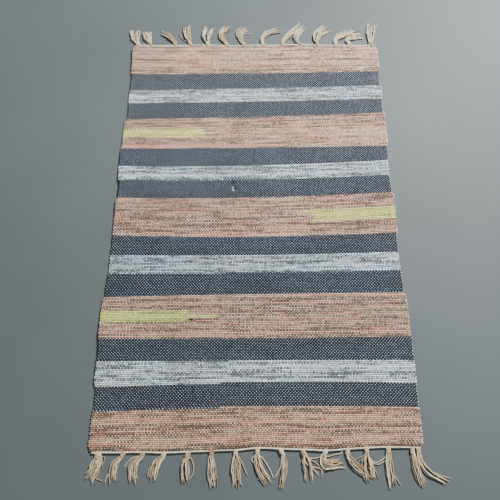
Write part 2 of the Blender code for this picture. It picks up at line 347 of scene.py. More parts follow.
# Each stripe from the far end to the near one: its yarn, and the selvedges' distances from the
# middle line.
BANDS = (
    Band("salmon", 0.2990, 0.3000),
    Band("charcoal", 0.2960, 0.2970),
    Band("white", 0.2975, 0.2995),
    Band("charcoal", 0.2965, 0.2967),
    Band("salmon", 0.3015, 0.3000),
    Band("charcoal", 0.3035, 0.2980),
    Band("white", 0.3030, 0.2950),
    Band("charcoal", 0.2985, 0.2967),
    Band("salmon", 0.3020, 0.3005),
    Band("charcoal", 0.3020, 0.2970),
    Band("white", 0.3025, 0.2970),
    Band("charcoal", 0.3045, 0.2980),
    Band("salmon", 0.3085, 0.3025),
    Band("charcoal", 0.3060, 0.3040),
    Band("white", 0.3075, 0.3045),
    Band("charcoal", 0.3035, 0.3030),
    Band("salmon", 0.3060, 0.3035),
)

# Where the tassels draw an end out or let it in: how far towards the far end, and how far the
# wave reaches along the end.
WAVES = (
    Wave("far", -0.040, -0.0016, 0.060),
    Wave("far", 0.120, 0.0024, 0.050),
    Wave("near", -0.150, -0.0018, 0.070),
    Wave("near", 0.005, 0.0034, 0.045),
    Wave("near", 0.125, -0.0028, 0.050),
    Wave("near", 0.235, 0.0012, 0.050),
)

# Yarn laid in from one selvedge: its first pick from the far end, how many picks, and how far
# across the cloth it reaches. The last rows are picks that change yarn part of the way across.
INLAYS = (
    Inlay("lime", "left", 71, 7, 0.190),
    Inlay("lime", "left", 74, 1, 0.224),
    Inlay("lime", "right", 135, 8, 0.185),
    Inlay("lime", "right", 136, 1, 0.206),
    Inlay("lime", "left", 200, 7, 0.181),
    Inlay("lime", "left", 203, 2, 0.228),
    Inlay("charcoal", "right", 125, 1, 0.348),
    Inlay("white", "left", 243, 1, 0.233),
    Inlay("charcoal", "left", 257, 1, 0.232),
    Inlay("charcoal", "right", 176, 1, 0.360),
)

# What a run of odd yarn along a pick looks like: its tone, and which patch's tint it has
LOOKS = {
    "dark": Look(0.06, None),
    "bright": Look(0.55, 0),
    "cool": Look(0.42, 1),
    "warm": Look(0.45, 2),
}

# The runs that stand out most: their first pick from the far end, x of their left and right
# end, and how many picks, if more than one.
RUNS = {
    "dark": (
        Run(81, -0.301, -0.060),
        Run(129, -0.298, -0.043),
        Run(138, -0.310, -0.096),
        Run(169, -0.203, 0.034),
        Run(174, -0.298, -0.062),
        Run(193, 0.160, 0.301),
        Run(194, -0.291, -0.191),
        Run(201, 0.079, 0.302),
        Run(203, -0.077, 0.088),
        Run(207, -0.293, -0.125),
        Run(215, 0.009, 0.296),
        Run(232, -0.046, 0.085),
        Run(237, -0.059, 0.065),
        Run(262, -0.150, -0.030),
        Run(265, -0.302, -0.030),
        Run(270, -0.272, -0.130),
        Run(270, 0.154, 0.295),
    ),
    "bright": (
        Run(8, -0.167, -0.094, 3),
        Run(84, -0.300, 0.068, 2),
        Run(196, -0.297, 0.183),
        Run(213, -0.295, 0.293),
        Run(234, -0.055, 0.299),
        Run(262, -0.223, -0.164),
        Run(268, 0.145, 0.250),
    ),
    "cool": (
        Run(238, -0.258, -0.163, 2),
        Run(240, 0.170, 0.208),
        Run(269, -0.057, 0.035),
    ),
    "warm": (
        Run(73, -0.301, -0.120, 3),
        Run(137, 0.110, 0.301, 3),
        Run(145, 0.021, 0.116, 4),
        Run(202, -0.309, -0.125, 3),
        Run(261, -0.131, -0.054),
        Run(261, 0.067, 0.205, 2),
        Run(272, -0.057, 0.053),
        Run(275, -0.220, -0.129, 2),
    ),
}

# Single knots and specks of stray yarn on the cloth
MARKS = (
    Mark(-0.0489, 0.0830, 0.0042, 0.0064, (0.022, 0.025, 0.034)),
    Mark(-0.0500, 0.0711, 0.0016, 0.0021, (0.80, 0.80, 0.80)),
    Mark(-0.0484, 0.0645, 0.0018, 0.0024, (0.84, 0.84, 0.84)),
    Mark(-0.1240, -0.2145, 0.0060, 0.0050, (0.84, 0.50, 0.32)),
    Mark(-0.1283, -0.2215, 0.0030, 0.0020, (0.030, 0.026, 0.024)),
    Mark(0.0090, -0.2130, 0.0026, 0.0020, (0.030, 0.026, 0.024)),
)

# Places where the cloth stands a little off the floor
LIFTS = (
    Lift(-0.300, 0.450, 0.0030, 0.060),
    Lift(-0.305, 0.060, 0.0022, 0.110),
    Lift(-0.308, -0.260, 0.0026, 0.090),
    Lift(0.302, 0.300, 0.0018, 0.090),
    Lift(0.304, -0.180, 0.0022, 0.100),
    Lift(0.303, -0.455, 0.0020, 0.050),
    Lift(-0.060, -0.465, 0.0018, 0.070),
)

FAR_TASSELS = (
    Tassel(-0.287, -0.012, 0.024, -0.011, 0.044, 0.0200, 0.10, 1.2),
    Tassel(-0.257, -0.009, 0.024, -0.013, 0.041, 0.0180),
    Tassel(-0.197, -0.004, 0.017, -0.034, 0.040, 0.0110),
    Tassel(-0.158, -0.010, 0.026, -0.014, 0.058, 0.0150),
    Tassel(-0.115, -0.010, 0.026, 0.002, 0.057, 0.0190, 0.25),
    Tassel(-0.069, -0.026, 0.035, 0.002, 0.056, 0.0140),
    Tassel(-0.027, -0.022, 0.041, 0.006, 0.051, 0.0140),
    Tassel(0.020, -0.006, 0.036, 0.043, 0.048, 0.0120),
    Tassel(0.066, 0.010, 0.023, 0.050, 0.060, 0.0130),
    Tassel(0.109, -0.014, 0.025, 0.013, 0.054, 0.0130),
    Tassel(0.155, -0.010, 0.029, 0.026, 0.054, 0.0190),
    Tassel(0.199, 0.000, 0.032, 0.063, 0.040, 0.0130),
    Tassel(0.234, -0.016, 0.022, 0.031, 0.026, 0.0110),
    Tassel(0.286, 0.001, 0.036, 0.008, 0.066, 0.0170, 0.0, 1.3),
)
NEAR_TASSELS = (
    Tassel(-0.286, 0.001, 0.018, -0.011, 0.042, 0.0225, 0.0, 1.80),
    Tassel(-0.241, -0.020, 0.016, -0.015, 0.046, 0.0155),
    Tassel(-0.206, -0.022, 0.015, -0.015, 0.047, 0.0160),
    Tassel(-0.167, -0.018, 0.017, -0.020, 0.045, 0.0170),
    Tassel(-0.124, -0.008, 0.024, -0.002, 0.049, 0.0160, 0.30),
    Tassel(-0.082, 0.001, 0.029, 0.005, 0.056, 0.0165),
    Tassel(-0.038, 0.000, 0.028, 0.002, 0.057, 0.0165),
    Tassel(0.002, -0.004, 0.027, 0.020, 0.054, 0.0160),
    Tassel(0.044, 0.010, 0.025, -0.001, 0.061, 0.0125),
    Tassel(0.083, 0.010, 0.024, 0.009, 0.050, 0.0150, 0.65),
    Tassel(0.125, -0.014, 0.031, 0.028, 0.023, 0.0190),
    Tassel(0.164, 0.004, 0.024, 0.034, 0.044, 0.0130),
    Tassel(0.200, -0.003, 0.027, 0.004, 0.051, 0.0240, 0.20),
    Tassel(0.239, -0.001, 0.031, 0.002, 0.064, 0.0140),
    Tassel(0.282, 0.002, 0.030, 0.013, 0.060, 0.0130),
    Tassel(0.294, -0.001, 0.038, 0.044, 0.055, 0.0110, 0.25),
)

# Yarns that stray, at each end: the number of the tassel that they belong to, then the points
# that they pass, as (x, out) from the middle of the rug and from the heading cord.
LOOSE_YARNS = {
    "near": (
        Loose(0, ((-0.293, 0.032), (-0.289, 0.040), (-0.277, 0.044))),
        Loose(0, ((-0.276, 0.003), (-0.274, 0.011), (-0.279, 0.018), (-0.283, 0.024))),
        Loose(1, ((-0.251, 0.011), (-0.261, 0.017), (-0.264, 0.028), (-0.270, 0.046))),
        Loose(2, ((-0.212, 0.004), (-0.223, 0.006), (-0.232, 0.012), (-0.237, 0.021))),
        Loose(4, ((-0.118, 0.009), (-0.113, 0.022), (-0.113, 0.036), (-0.120, 0.045))),
        Loose(6, ((-0.031, 0.010), (-0.024, 0.026), (-0.017, 0.039))),
        Loose(7, ((-0.004, 0.010), (-0.010, 0.014), (-0.007, 0.021), (0.006, 0.026))),
        Loose(7, ((0.009, 0.025), (0.007, 0.035), (0.003, 0.045))),
        Loose(7, ((0.009, 0.012), (0.016, 0.021), (0.022, 0.029), (0.029, 0.043))),
        Loose(8, ((0.050, 0.011), (0.053, 0.025), (0.051, 0.044))),
        Loose(8, ((0.042, 0.029), (0.038, 0.035), (0.034, 0.042))),
        Loose(9, ((0.092, 0.014), (0.106, 0.020), (0.117, 0.034), (0.117, 0.044))),
        Loose(9, ((0.088, 0.019), (0.097, 0.028), (0.114, 0.031), (0.118, 0.038))),
        Loose(9, ((0.088, 0.021), (0.095, 0.028), (0.104, 0.033), (0.109, 0.040))),
        Loose(9, ((0.088, 0.010), (0.096, 0.013), (0.108, 0.012), (0.115, 0.010))),
        Loose(10, ((0.129, 0.010), (0.138, 0.008), (0.152, 0.006), (0.157, 0.000))),
        Loose(12, ((0.198, 0.011), (0.193, 0.012), (0.186, 0.015), (0.177, 0.019))),
        Loose(12, ((0.202, 0.013), (0.208, 0.024), (0.219, 0.027), (0.230, 0.020))),
        Loose(12, ((0.204, 0.015), (0.211, 0.022), (0.222, 0.021), (0.233, 0.013))),
        Loose(13, ((0.241, 0.027), (0.244, 0.039), (0.248, 0.049), (0.256, 0.058))),
        Loose(15, ((0.300, 0.023), (0.314, 0.038), (0.329, 0.045), (0.345, 0.049))),
    ),
    "far": (
        Loose(2, ((-0.203, 0.012), (-0.210, 0.020), (-0.212, 0.027), (-0.211, 0.034))),
        Loose(3, ((-0.165, 0.010), (-0.174, 0.013), (-0.182, 0.020), (-0.188, 0.037))),
        Loose(6, ((-0.035, 0.023), (-0.030, 0.033), (-0.022, 0.037), (-0.010, 0.036))),
        Loose(10, ((0.156, 0.027), (0.160, 0.041), (0.164, 0.051), (0.165, 0.060))),
    ),
}


def smooth(share):
    """Eases a share from 0 to 1."""
    share = np.clip(share, 0.0, 1.0)
    return share * share * (3 - 2 * share)


def line_y(line, x):
    """Y of a line across the cloth at x."""
    across = x / HALF_WIDTH
    tilt = (line.right - line.left) / 2
    bow = (line.right + line.left) / 2 - line.middle
    return line.middle + tilt * across + bow * across * across


def end_wave(x, end):
    """How far an end waves out of its even line at x, towards the far end."""
    rise = 0.0
    for wave in WAVES:
        if wave.side == end:
            rise = rise + wave.height * np.exp(-2 * ((x - wave.x) / wave.reach) ** 2)
    return rise


def fullness(x, y):
    """The cloth's thickness at a place, as a share of its full thickness."""
    swell = sum(np.sin(across * x + along * y + start) for across, along, start in SWELLS)
    return 1 - (1 - THINNEST) * (0.5 + swell / (2 * len(SWELLS)))


def wander(values, rng, scale):
    """Smooth random values from about -1 to 1 at each of the given places, scale apart."""
    knots = np.arange(math.floor(values.min() / scale) - 1, math.ceil(values.max() / scale) + 2)
    return np.interp(values / scale, knots, rng.uniform(-1, 1, len(knots)))


def tube_verts(centre, side, up, radius, sides):
    """Rings of vertices round the centre points. radius is one number for each point."""
    angle = np.arange(sides) * 2 * math.pi / sides
    ring = np.cos(angle)[None, :, None] * side[:, None]
    ring = ring + np.sin(angle)[None, :, None] * up[:, None]
    return centre[:, None] + radius[:, None, None] * ring


def tube_faces(first, rings, sides):
    """The faces round a tube whose rings of vertices start at first."""
    faces = []
    for low in range(first, first + (rings - 1) * sides, sides):
        high = low + sides
        for place in range(sides):
            after = (place + 1) % sides
            faces.append((low + place, low + after, high + after, high + place))
    return faces


def mesh_object(name, verts, faces):
    mesh = bpy.data.meshes.new(name)
    mesh.from_pydata(verts, [], faces)
    mesh.validate()
    mesh.shade_smooth()
    obj = bpy.data.objects.new(name, mesh)
    bpy.context.scene.collection.objects.link(obj)
    return obj


# The cloth


def band_picks():
    """How many picks each band has."""
    counts = []
    for band, far, near in zip(BANDS, LINES, LINES[1:]):
        counts.append(round((far.middle - near.middle) / PICK[band.yarn]))
    return counts


def boundary_lines(x):
    """Y of every line across the cloth at x, from the far end to the near one."""
    lines = [line_y(line, x) for line in LINES]
    lines[0] = lines[0] + end_wave(x, "far")
    lines[-1] = lines[-1] + end_wave(x, "near")
    return lines


def pick_place(v, x):
    """Y at x of a place v picks from the far end, and the distance from pick to pick there."""
    starts = np.concatenate([[0], np.cumsum(band_picks())])
    band = min(int(np.searchsorted(starts, v, side="right")), len(BANDS)) - 1
    lines = boundary_lines(x)
    pitch = (lines[band] - lines[band + 1]) / (starts[band + 1] - starts[band])
    return lines[band] - pitch * (v - starts[band]), pitch


def pick_reaches(rng):
    """The left and right selvedge's distance from the middle line at each pick."""
    reaches = []
    for band, count in zip(BANDS, band_picks()):
        reaches += [(band.left, band.right)] * count
    reaches = np.array(reaches)
    eased = reaches.copy()
    eased[1:-1] = (reaches[:-2] + 2 * reaches[1:-1] + reaches[2:]) / 4
    picks = np.arange(len(eased))
    for edge in (0, 1):
        eased[:, edge] += EDGE_SWAY * wander(picks.astype(float), rng, EDGE_PICKS)
        for end in (picks, picks[::-1]):
            eased[:, edge] -= CORNER_PULL * np.clip(1 - end / CORNER_PICKS, 0, 1) ** 2
    return eased


def lift(x, y):
    """How far the cloth stands off the floor."""
    height = 0.0
    for place in LIFTS:
        away = ((x - place.x) ** 2 + (y - place.y) ** 2) / place.reach ** 2
        height = height + place.height * np.exp(-2 * away)
    return height


def section(left, right):
    """One cross-section of the cloth from selvedge to selvedge and back underneath: arrays of
    x, height as a share of the thickness, and the weave's u coordinate."""
    flat = left + right - 2 * RIM
    top_x = -left + RIM + flat * np.linspace(0, 1, ENDS)
    under_x = -left + RIM + flat * np.linspace(1, 0, UNDER_COLUMNS)
    turn = np.radians(RIM_ANGLES)
    right_x = right - RIM + RIM * np.cos(turn)
    left_x = -left + RIM - RIM * np.cos(turn[::-1])
    x = np.concatenate([top_x, right_x, under_x, left_x])
    rise = np.concatenate(
        [np.ones(ENDS), 0.5 + np.sin(turn) / 2, np.zeros(UNDER_COLUMNS), 0.5 - np.sin(turn) / 2]
    )
    u = 0.5 + (ENDS - 1) * (x + left - RIM) / flat
    return x, rise, u


def make_cloth(reaches, rng):
    """The woven cloth: one vertex for each crossing of a warp end and a pick, standing up
    where the weft is on top and down where the warp is, and closed underneath."""
    total = len(reaches)
    rows = [0.0, *(np.arange(total) + 0.5), float(total)]
    ring = ENDS + UNDER_COLUMNS + 2 * len(RIM_ANGLES)
    verts, weave = [], []
    drift = wander(np.arange(ENDS, dtype=float), rng, DRIFT_ENDS)
    for v in rows:
        pick = min(int(v), total - 1)
        x, rise, u = section(*reaches[pick])
        y, _ = pick_place(v, x)
        relief = np.where((np.arange(ENDS) + pick) % 2 == 0, 1.0, -1.0)
        relief *= rng.uniform(*RISE_VARIES, ENDS)
        top = THICKNESS * fullness(x, y) - WEFT_RISE
        z = top * rise
        z[:ENDS] += WEFT_RISE * relief
        if v in (0, total):
            z = top * (END_LOW + (END_HIGH - END_LOW) * rise)
        x[:ENDS] += DRIFT * drift * np.sin(y[:ENDS] * DRIFT_TURNS + drift)
        z += lift(x, y)
        verts.append(np.stack([x, y, z], axis=1))
        weave.append(np.stack([u, np.full(ring, v)], axis=1))
    verts, weave = np.concatenate(verts), np.concatenate(weave)
    faces = []
    for row in range(len(rows) - 1):
        for column in range(ring):
            after = (column + 1) % ring
            low, high = row * ring, (row + 1) * ring
            faces.append((low + column, high + column, high + after, low + after))
    faces.append(tuple(range(ring)))
    faces.append(tuple(reversed(range((len(rows) - 1) * ring, len(rows) * ring))))
    cloth = mesh_object("woven_cloth", verts.tolist(), faces)
    map_weave(cloth, weave)
    map_texture(cloth, verts.reshape(len(rows), ring, 3))
    return cloth


def add_map(piece, name, places):
    layer = piece.data.uv_layers.new(name=name, do_init=False)
    layer.uv.foreach_set("vector", np.asarray(places, dtype=np.float32).ravel())


def map_weave(piece, weave):
    """Gives a mesh its warp end and pick at each vertex, as the map named Weave."""
    corners = np.empty(len(piece.data.loops), dtype=np.int32)
    piece.data.loops.foreach_get("vertex_index", corners)
    add_map(piece, "Weave", weave[corners])


def map_texture(cloth, verts):
    """Lays the cloth out for baked textures: its upper side large, then its underside, with
    its two ends in a strip above and below."""
    x, z = verts[len(verts) // 2, :, 0], verts[len(verts) // 2, :, 2]
    steps = np.hypot(np.diff(x, append=x[:1]), np.diff(z, append=z[:1]))
    around = np.concatenate([[0], np.cumsum(steps)])
    across = np.interp(around, (0, around[ENDS - 1], around[-1]), (0, TOP_SHARE, 1))
    up = np.linspace(2 * CAP_SHARE, 1 - 2 * CAP_SHARE, len(verts))
    places = []
    for low, high in zip(up, up[1:]):
        for left, right in zip(across, across[1:]):
            places += [(left, low), (left, high), (right, high), (right, low)]
    for bottom, section_verts in ((0.0, verts[0]), (1 - CAP_SHARE, verts[-1, ::-1])):
        low, high = section_verts.min(axis=0), section_verts.max(axis=0)
        share = (section_verts - low) / (high - low)
        places += list(zip(share[:, 0], bottom + CAP_SHARE * share[:, 2]))
    add_map(cloth, "OFBake", places)


def make_selvedges(reaches, rng):
    """The loops in which each weft turns back at the selvedges, one for every two picks."""
    verts, faces, weave = [], [], []
    turn = np.linspace(-0.5, 0.5, LOOP_STEPS) * math.pi
    up = np.tile((0.0, 0.0, LOOP_TALL), (LOOP_STEPS, 1))
    along = np.repeat(np.arange(LOOP_STEPS) / LOOP_STEPS, LOOP_SIDES)
    round_yarn = np.cos(np.arange(LOOP_SIDES) * 2 * math.pi / LOOP_SIDES)
    count = 0
    for edge, side in enumerate((-1, 1)):
        across = np.stack([np.cos(turn), side * np.sin(turn), 0 * turn], axis=1)
        u = LOOP_START + LOOP_SPAN * along + (0 if side < 0 else ENDS - 1)
        for pick in range(edge, len(reaches) - 1, 2):
            reach = reaches[pick:pick + 2, edge].mean()
            middle, pitch = pick_place(pick + 1, side * reach)
            out = LOOP_REACH * rng.uniform(*REACH_VARIES)
            thick = LOOP_RADIUS * rng.uniform(*RADIUS_VARIES)
            x = side * (reach - LOOP_INSET + (LOOP_DEPTH + out) * np.cos(turn) ** LOOP_BLUNT)
            y = middle + LOOP_WIDTH * pitch * np.sin(turn)
            z = THICKNESS * fullness(x, y) * LOOP_LEVEL + lift(x, y) + LOOP_TILT * np.sin(turn)
            centre, radius = np.stack([x, y, z], axis=1), np.full(LOOP_STEPS, thick)
            verts.append(tube_verts(centre, across, up, radius, LOOP_SIDES).reshape(-1, 3))
            loop = tube_faces(count, LOOP_STEPS, LOOP_SIDES)
            faces += loop if side > 0 else [face[::-1] for face in loop]
            count += LOOP_STEPS * LOOP_SIDES
            # v swings round the loop's yarn, so its sides take the weave's painted crease shade
            v = pick + 0.5 + LOOP_PICKS * np.tile(round_yarn, LOOP_STEPS)
            weave.append(np.stack([u, v], axis=1))
    loops = mesh_object("selvedge_loops", np.concatenate(verts).tolist(), faces)
    map_weave(loops, np.concatenate(weave))
    return loops


# Materials


class Graph:
    """A material's nodes, with its Principled shader."""

    def __init__(self, name, roughness, sheen=0.0, specular=0.2):
        self.material = bpy.data.materials.new(name)
        self.material.use_nodes = True
        self.tree = self.material.node_tree
        self.shader = self.tree.nodes["Principled BSDF"]
        self.surface("Roughness", roughness)
        self.surface("Sheen Weight", sheen)
        self.surface("Sheen Tint", (1.0, 1.0, 1.0))
        self.surface("Specular IOR Level", specular)

    def surface(self, name, value):
        """Gives the shader a value or a link."""
        self.put(self.shader.inputs[name], value)

    def add(self, kind, inputs=(), **settings):
        """A node of a kind, with (socket, value or link) pairs and its settings."""
        node = self.tree.nodes.new("ShaderNode" + kind)
        for name, value in settings.items():
            setattr(node, name, value)
        for name, value in inputs:
            self.put(node.inputs[name], value)
        return node

    def put(self, socket, value):
        if isinstance(value, bpy.types.NodeSocket):
            self.tree.links.new(value, socket)
        elif isinstance(value, tuple) and socket.type == "RGBA":
            socket.default_value = (*value, 1.0)
        else:
            socket.default_value = value

    def math(self, operation, first, second=0.0, third=0.0):
        inputs = ((0, first), (1, second), (2, third))
        return self.add("Math", inputs, operation=operation).outputs[0]

    def squared(self, value, middle, half):
        """Square of a value's distance from the middle, in halves."""
        away = self.math("DIVIDE", self.math("SUBTRACT", value, middle), half)
        return self.math("MULTIPLY", away, away)

    def between(self, value, low, high, to_low=0.0, to_high=1.0):
        """Value eased from to_low at low to to_high at high."""
        inputs = ((0, value), (1, low), (2, high), (3, to_low), (4, to_high))
        return self.add("MapRange", inputs, interpolation_type="SMOOTHSTEP").outputs[0]

    def blend(self, mask, outside, inside):
        """A number that is one value outside a mask and another inside."""
        return self.between(mask, 0.0, 1.0, outside, inside)

    def place(self, x, y, z=0.0):
        return self.add("CombineXYZ", ((0, x), (1, y), (2, z))).outputs[0]

    def noise(self, place, scale=1.0, detail=1.0):
        inputs = (("Vector", place), ("Scale", scale), ("Detail", detail))
        return self.add("TexNoise", inputs).outputs["Fac"]

    def chance(self, value):
        """A number from 0 to 1 for each whole value."""
        return self.add("TexWhiteNoise", (("W", value),), noise_dimensions="1D").outputs["Value"]

    def mix(self, factor, first, second, blend="MIX"):
        node = self.add("Mix", (("Factor", factor),), data_type="RGBA", blend_type=blend)
        self.put(node.inputs[6], first)
        self.put(node.inputs[7], second)
        return node.outputs[2]

    def ramp(self, value, stops):
        """A colour for each value, between those of its stops."""
        node = self.add("ValToRGB", (("Fac", value),))
        elements = node.color_ramp.elements
        while len(elements) < len(stops):
            elements.new(0.5)
        for element, stop in zip(elements, stops):
            element.position = stop.place
            element.color = (*stop.colour, 1.0)
        return node.outputs["Color"]

    def shaded(self, colour, shade):
        """A colour made darker by a number."""
        return self.mix(1.0, colour, self.place(shade, shade, shade), "MULTIPLY")

    def bump(self, height, distance):
        inputs = (("Height", height), ("Distance", distance), ("Strength", 1.0))
        self.surface("Normal", self.add("Bump", inputs).outputs["Normal"])


def on_picks(graph, v, first, picks):
    """1 on some picks, and 0 elsewhere."""
    return graph.math("COMPARE", v, first + picks / 2, picks / 2)


def end_at(x):
    """How many warp ends a place at x is from the left selvedge."""
    return (1 + x / HALF_WIDTH) / 2 * ENDS


def band_mask(graph, v, yarn):
    """1 over the stripes of a yarn, and 0 elsewhere."""
    mask, start = 0.0, 0
    for band, picks in zip(BANDS, band_picks()):
        if band.yarn == yarn:
            mask = graph.math("ADD", mask, on_picks(graph, v, start, picks))
        start += picks
    return mask


def inlay_mask(graph, u, v, yarn, ragged):
    """1 where a yarn is laid in from a selvedge. Ragged ends fall that many warp ends short."""
    mask = 0.0
    for inlay in INLAYS:
        if inlay.yarn == yarn:
            edge = graph.math("ADD", ragged, end_at(inlay.reach - HALF_WIDTH))
            depth = u if inlay.side == "left" else graph.math("SUBTRACT", ENDS, u)
            inside = graph.math("LESS_THAN", depth, edge)
            inlaid = on_picks(graph, v, inlay.first_pick, inlay.picks)
            mask = graph.math("MAXIMUM", mask, graph.math("MULTIPLY", inlaid, inside))
    return mask


def place_runs(graph, u, v, tone, patches):
    """The tone and the patches of tint, changed where the placed runs are."""
    for name, look in LOOKS.items():
        mask = 0.0
        for run in RUNS[name]:
            row = on_picks(graph, v, run.first_pick, run.picks)
            left, right = end_at(run.left), end_at(run.right)
            half = (right - left) / 2
            away = graph.math("ABSOLUTE", graph.math("SUBTRACT", u, left + half))
            across = graph.between(away, half + RUN_FADE, half - RUN_FADE)
            mask = graph.math("MAXIMUM", mask, graph.math("MULTIPLY", row, across))
        tone = graph.blend(mask, tone, look.tone)
        for number, patch in enumerate(patches):
            patches[number] = graph.blend(mask, patch, 1.0 if number == look.patch else 0.0)
    return tone


def tint_picks(graph, u, v, pick, chance):
    """The tone of the weft, from its darkest strands (0) to its lightest (1), and its patches
    of tint. Both run along the picks."""
    across = graph.math("MULTIPLY", u, RUN_ACROSS)
    line = graph.math("MULTIPLY", pick, RUN_APART)
    run = graph.noise(graph.place(across, line), 1.0, 3.0)
    tone = graph.math("MULTIPLY_ADD", run, RUN_CONTRAST, RUN_TONE)
    tone = graph.math("MULTIPLY_ADD", chance, PICK_TONE, tone)
    patches = []
    for patch in PATCHES:
        runs = graph.noise(graph.place(across, line, patch.layer), patch.scale, 2.0)
        patches.append(graph.between(runs, patch.low, patch.high))
    return place_runs(graph, u, v, tone, patches), patches


def dye_yarns(graph, u, v, tone, patches, charcoal, ragged):
    """The colours of the weft and of the warp over it."""
    layers = (
        ("charcoal", charcoal),
        ("white", band_mask(graph, v, "white")),
        ("charcoal", inlay_mask(graph, u, v, "charcoal", 0.0)),
        ("white", inlay_mask(graph, u, v, "white", 0.0)),
        ("lime", inlay_mask(graph, u, v, "lime", ragged)),
    )
    wefts = {}
    for yarn, dye in DYES.items():
        weft = graph.ramp(tone, dye.stops)
        for patch, tint in zip(patches, dye.tints):
            weft = graph.mix(patch, weft, tint, "MULTIPLY")
        wefts[yarn] = weft
    weft, warp = wefts["salmon"], DYES["salmon"].warp
    for yarn, mask in layers:
        weft = graph.mix(mask, weft, wefts[yarn])
        warp = graph.mix(mask, warp, DYES[yarn].warp)
    return weft, warp


def add_marks(graph, colour):
    """The cloth's colour with the single knots and specks on it."""
    place = graph.add("SeparateXYZ", ((0, graph.add("TexCoord").outputs["Object"]),))
    for mark in MARKS:
        wide = graph.squared(place.outputs[0], mark.x, mark.half_width)
        long = graph.squared(place.outputs[1], mark.y, mark.half_length)
        spot = graph.between(graph.math("ADD", wide, long), *SPOT)
        colour = graph.mix(spot, colour, mark.colour)
    return colour


def weave_material():
    """Plain weave: cream warp showing in every other crossing, over wefts whose colour runs
    along each pick."""
    graph = Graph("woven_cotton", roughness=0.80, sheen=0.25)
    weave = graph.add("SeparateXYZ", ((0, graph.add("UVMap", uv_map="Weave").outputs[0]),))
    u, v = weave.outputs[0], weave.outputs[1]
    end, pick = graph.math("FLOOR", u), graph.math("FLOOR", v)
    crossing = graph.place(end, pick)
    speck = graph.add("TexWhiteNoise", (("Vector", crossing),), noise_dimensions="2D")
    specks = graph.add("SeparateColor", ((0, speck.outputs["Color"]),))
    fleck, stray, worn = specks.outputs
    across = graph.math("SUBTRACT", graph.math("FRACT", u), 0.5)
    across = graph.math("MULTIPLY_ADD", stray, WOBBLE, graph.math("SUBTRACT", across, WOBBLE / 2))
    along = graph.math("SUBTRACT", graph.math("FRACT", v), 0.5)
    warp_on_top = graph.math("FLOORED_MODULO", graph.math("ADD", end, pick), 2.0)
    share = graph.math("DIVIDE", v, sum(band_picks()))
    close = graph.between(share, 0.0, OPEN_LENGTH)

    chance = graph.chance(pick)
    tone, patches = tint_picks(graph, u, v, pick, chance)
    tone = graph.math("MULTIPLY_ADD", fleck, FLECK_TONE, tone)
    charcoal = band_mask(graph, v, "charcoal")
    ragged = graph.math("MULTIPLY_ADD", chance, INLAY_RAGGED, -INLAY_RAGGED)
    weft, warp = dye_yarns(graph, u, v, tone, patches, charcoal, ragged)

    flat = graph.squared(across, 0.0, WARP_HALF_WIDTH)
    tall = graph.squared(along, 0.0, WARP_HALF_LENGTH)
    cover = graph.math("MULTIPLY_ADD", patches[0], BULK, 1.0)
    cover = graph.math("MULTIPLY", cover, graph.blend(close, OPEN_COVER, 1.0))
    cover = graph.blend(charcoal, cover, CHARCOAL_COVER)
    away = graph.math("MULTIPLY", graph.math("ADD", flat, tall), cover)
    dot = graph.math("MULTIPLY", graph.between(away, *WARP_EDGE), warp_on_top)
    warp = graph.shaded(warp, graph.math("MULTIPLY_ADD", worn, WARP_VARIES, WARP_DULLEST))
    # painted shade: the warp darker towards the edges of its crossing
    warp = graph.shaded(warp, graph.between(away, *WARP_ROUND_SHADE))
    warp = graph.shaded(warp, graph.blend(charcoal, graph.between(tone, *WARP_LIT), 1.0))

    # painted shade: the weft darkened in the crease between one pick and the next
    crease_shade = graph.between(graph.math("ABSOLUTE", along), *CREASE_PAINTED_SHADE)
    # painted shade round each warp end on top, less over the darkest picks; in the far half the
    # weft is also made darker
    rim = graph.between(tone, *RIM_LIT)
    rim = graph.math("MAXIMUM", rim, graph.blend(close, OPEN_RIM, RIM_PAINTED_SHADE))
    rim = graph.blend(warp_on_top, 1.0, rim)
    rim = graph.math("MULTIPLY", rim, graph.blend(close, OPEN_SHADE, 1.0))
    weft = graph.shaded(weft, graph.math("MULTIPLY", crease_shade, rim))
    colour = graph.mix(dot, weft, warp)
    clouds = graph.between(graph.noise(graph.place(u, v), CLOUD_SCALE, 2.0), *CLOUDS)
    colour = graph.shaded(colour, clouds)
    colour = graph.mix(1.0, colour, graph.ramp(share, LENGTH_TONES), "MULTIPLY")
    colour = add_marks(graph, colour)
    fibres = graph.place(
        graph.math("MULTIPLY", u, FIBRES_ACROSS), graph.math("MULTIPLY", v, FIBRES_ALONG)
    )
    fibre = graph.noise(fibres, 1.0, 2.0)
    dull = graph.math("MULTIPLY_ADD", fibre, FIBRE_VARIES, FIBRE_DULLEST)
    colour = graph.shaded(colour, dull)
    graph.surface("Base Color", colour)

    bow = graph.math("MULTIPLY", graph.squared(along, 0.0, 1.0), PICK_BOW)
    height = graph.math("MULTIPLY_ADD", dot, WARP_RISE, bow)
    graph.bump(graph.math("MULTIPLY_ADD", fibre, FIBRE_RISE, height), BUMP)
    return graph.material


def yarn_material():
    """Undyed cotton yarn, each yarn in its own tint and a little uneven along it."""
    graph = Graph("cream_cotton", roughness=0.85, sheen=0.2)
    tint = graph.add("Attribute", attribute_name="tint").outputs["Color"]
    coordinates = graph.add("TexCoord").outputs["Object"]
    smudges = graph.between(graph.noise(coordinates, SMUDGE_SCALE, 3.0), *SMUDGES)
    graph.surface("Base Color", graph.shaded(tint, smudges))
    graph.bump(graph.noise(coordinates, COTTON_SCALE, 2.0), COTTON_BUMP)
    return graph.material


def floor_material():
    graph = Graph("painted_floor", roughness=0.62, specular=0.4)
    coordinates = graph.add("TexCoord").outputs["Object"]
    tones = graph.ramp(graph.noise(coordinates, 3.0, 4.0), FLOOR_TONES)
    graph.surface("Base Color", tones)
    return graph.material


# The fringe


